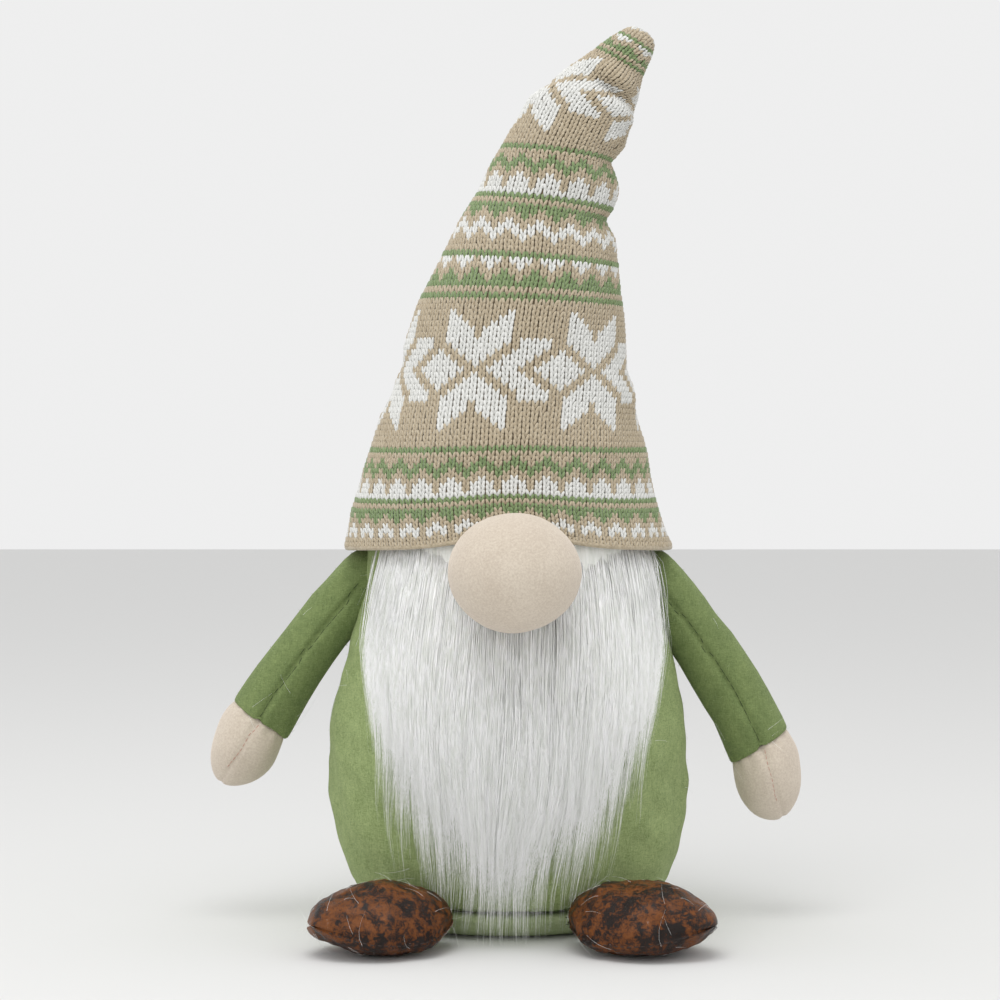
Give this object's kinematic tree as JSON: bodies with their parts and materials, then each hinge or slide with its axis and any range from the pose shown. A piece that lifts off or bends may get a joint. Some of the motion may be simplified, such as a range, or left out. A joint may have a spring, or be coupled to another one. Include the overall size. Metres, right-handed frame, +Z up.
{
  "type": "tomte gnome figurine",
  "caption": "Standing plush gnome with a tall patterned knitted hat over the eyes, ball nose, long white beard, stuffed arms and shoes, and a weighted flat base.",
  "frame": {"origin": "centre of the round base, on the surface the figure stands on", "axes": "+Z up the body, -Y the way the nose faces, +X towards the figure's own left hand"},
  "size_m": [0.2706, 0.1995, 0.4005],
  "materials": {
    "green_felt": "matte",
    "base_felt": "matte",
    "card": "matte",
    "pouch_cotton": "matte",
    "pellets": "matte",
    "stuffing": "matte",
    "green_thread": "matte",
    "pink_thread": "matte",
    "brown_thread": "matte",
    "hat_knit": "matte",
    "wire": "satin",
    "skin_flannel": "matte",
    "fur_backing": "matte",
    "fur_pile": "matte",
    "shoe_leather": "satin"
  },
  "bodies": {
    "root": {"body_front": "green_felt", "body_back": "green_felt", "base_disc": "base_felt", "base_board": "card", "weight_pouch": "pouch_cotton", "weight_pellets": "pellets", "body_fill": "stuffing", "side_seam_left": "green_thread", "side_seam_right": "green_thread", "base_seam": "green_thread", "hat_lower": "hat_knit", "hat_hem": "hat_knit", "hat_fill_lower": "stuffing", "hat_wire_lower": "wire", "nose_cover": "skin_flannel", "nose_fill": "stuffing", "nose_thread": "pink_thread", "beard_backing": "fur_backing", "beard_root_pile": "fur_pile", "shoe_tack_left": "brown_thread", "shoe_tack_right": "brown_thread"},
    "hat_middle": {"hat_middle": "hat_knit", "hat_fill_middle": "stuffing", "hat_wire_middle": "wire"},
    "hat_tip": {"hat_tip": "hat_knit", "hat_fill_tip": "stuffing", "hat_wire_tip": "wire"},
    "beard": {"beard_fall_backing": "fur_backing", "beard_fall_pile": "fur_pile"},
    "left_shoulder": {"shoulder_shank_left": "green_thread"},
    "right_shoulder": {"shoulder_shank_right": "green_thread"},
    "left_arm": {"sleeve_left": "green_felt", "hand_left": "skin_flannel", "arm_fill_left": "stuffing", "sleeve_seam_left": "green_thread", "hand_seam_left": "pink_thread"},
    "right_arm": {"sleeve_right": "green_felt", "hand_right": "skin_flannel", "arm_fill_right": "stuffing", "sleeve_seam_right": "green_thread", "hand_seam_right": "pink_thread"},
    "left_shoe": {"shoe_upper_left": "shoe_leather", "shoe_sole_left": "shoe_leather", "shoe_fill_left": "stuffing", "shoe_seam_left": "brown_thread"},
    "right_shoe": {"shoe_upper_right": "shoe_leather", "shoe_sole_right": "shoe_leather", "shoe_fill_right": "stuffing", "shoe_seam_right": "brown_thread"}
  },
  "joints": [
    {"name": "hat_bend", "type": "hinge", "parent": "root", "child": "hat_middle", "pos_m": [0, 0, 0.25], "axis": [0, 1, 0], "range_deg": [-25, 12]},
    {"name": "hat_tip_bend", "type": "hinge", "parent": "hat_middle", "child": "hat_tip", "pos_m": [0.02181, 0, 0.34759], "axis": [0, 1, 0], "range_deg": [-44, 11]},
    {"name": "beard_lift", "type": "hinge", "parent": "root", "child": "beard", "pos_m": [0, -0.062, 0.128], "axis": [-1, 0, 0], "range_deg": [0, 45]},
    {"name": "left_swing", "type": "hinge", "parent": "root", "child": "left_shoulder", "pos_m": [0.066, 0, 0.151], "axis": [-1, 0, 0], "range_deg": [-30, 60]},
    {"name": "left_raise", "type": "hinge", "parent": "left_shoulder", "child": "left_arm", "pos_m": [0.066, 0, 0.151], "axis": [0, -1, 0], "range_deg": [-2, 57]},
    {"name": "right_swing", "type": "hinge", "parent": "root", "child": "right_shoulder", "pos_m": [-0.066, 0, 0.151], "axis": [-1, 0, 0], "range_deg": [-30, 60]},
    {"name": "right_raise", "type": "hinge", "parent": "right_shoulder", "child": "right_arm", "pos_m": [-0.066, 0, 0.151], "axis": [0, 1, 0], "range_deg": [-5, 54]},
    {"name": "left_shoe_tilt", "type": "hinge", "parent": "root", "child": "left_shoe", "pos_m": [0.02328, -0.0676, 0.014], "axis": [-0.9455, -0.3256, 0], "range_deg": [0, 25]},
    {"name": "right_shoe_tilt", "type": "hinge", "parent": "root", "child": "right_shoe", "pos_m": [-0.02328, -0.0676, 0.014], "axis": [-0.9455, 0.3256, 0], "range_deg": [0, 25]}
  ]
}
